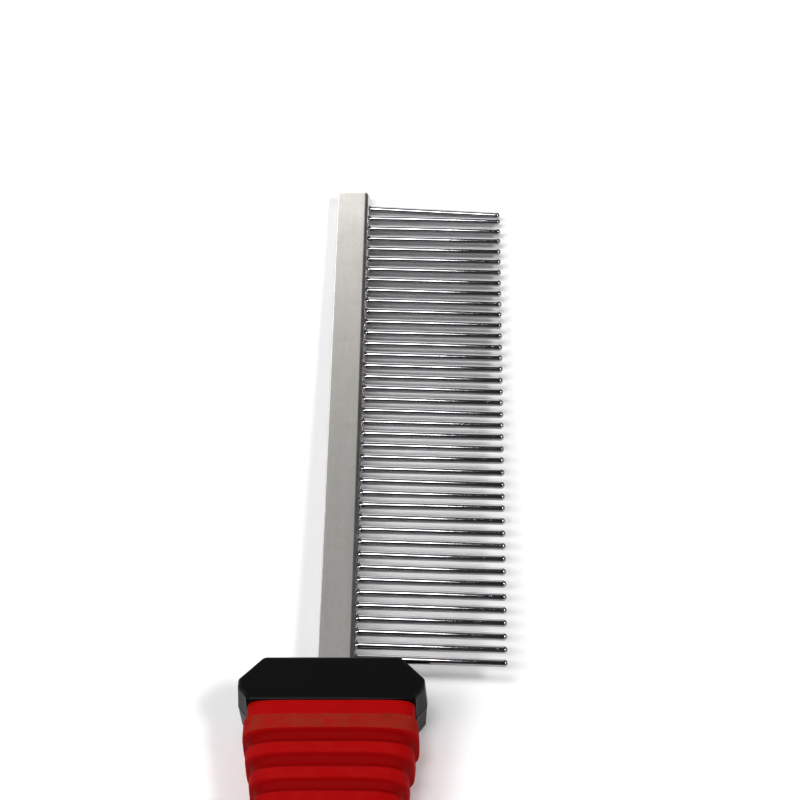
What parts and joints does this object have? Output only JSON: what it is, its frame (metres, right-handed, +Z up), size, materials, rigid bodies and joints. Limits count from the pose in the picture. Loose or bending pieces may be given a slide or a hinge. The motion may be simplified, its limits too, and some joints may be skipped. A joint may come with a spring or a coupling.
{
  "type": "grooming comb",
  "caption": "Flat steel comb with a single row of long round steel teeth, a flared black finger guard and a ribbed red rubber handle that ends in a hanging slot.",
  "frame": {"origin": "centre of the underside of the whole comb's box, level with the lowest face of the handle", "axes": "+X from the spine towards the tooth tips, +Y along the spine away from the handle, +Z up, square to the comb's flat side"},
  "size_m": [0.0456, 0.2184, 0.014],
  "materials": {
    "ground_steel": "ground flat face with fine scratches and satin sheen",
    "bright_steel": "polished round wire with bright rounded tips",
    "black_plastic": "moulded, finely textured, satin",
    "red_rubber": "soft-touch moulded rubber, matte with faint scuffs on the rib crests"
  },
  "bodies": {
    "root": {"spine": "ground_steel", "tooth_01": "bright_steel", "tooth_02": "bright_steel", "tooth_03": "bright_steel", "tooth_04": "bright_steel", "tooth_05": "bright_steel", "tooth_06": "bright_steel", "tooth_07": "bright_steel", "tooth_08": "bright_steel", "tooth_09": "bright_steel", "tooth_10": "bright_steel", "tooth_11": "bright_steel", "tooth_12": "bright_steel", "tooth_13": "bright_steel", "tooth_14": "bright_steel", "tooth_15": "bright_steel", "tooth_16": "bright_steel", "tooth_17": "bright_steel", "tooth_18": "bright_steel", "tooth_19": "bright_steel", "tooth_20": "bright_steel", "tooth_21": "bright_steel", "tooth_22": "bright_steel", "tooth_23": "bright_steel", "tooth_24": "bright_steel", "tooth_25": "bright_steel", "tooth_26": "bright_steel", "tooth_27": "bright_steel", "tooth_28": "bright_steel", "tooth_29": "bright_steel", "tooth_30": "bright_steel", "tooth_31": "bright_steel", "tooth_32": "bright_steel", "tooth_33": "bright_steel", "tooth_34": "bright_steel", "tooth_35": "bright_steel", "tooth_36": "bright_steel", "tooth_37": "bright_steel", "tooth_38": "bright_steel", "tooth_39": "bright_steel", "tooth_40": "bright_steel", "handle_core": "black_plastic", "grip_sleeve": "red_rubber"}
  },
  "joints": []
}
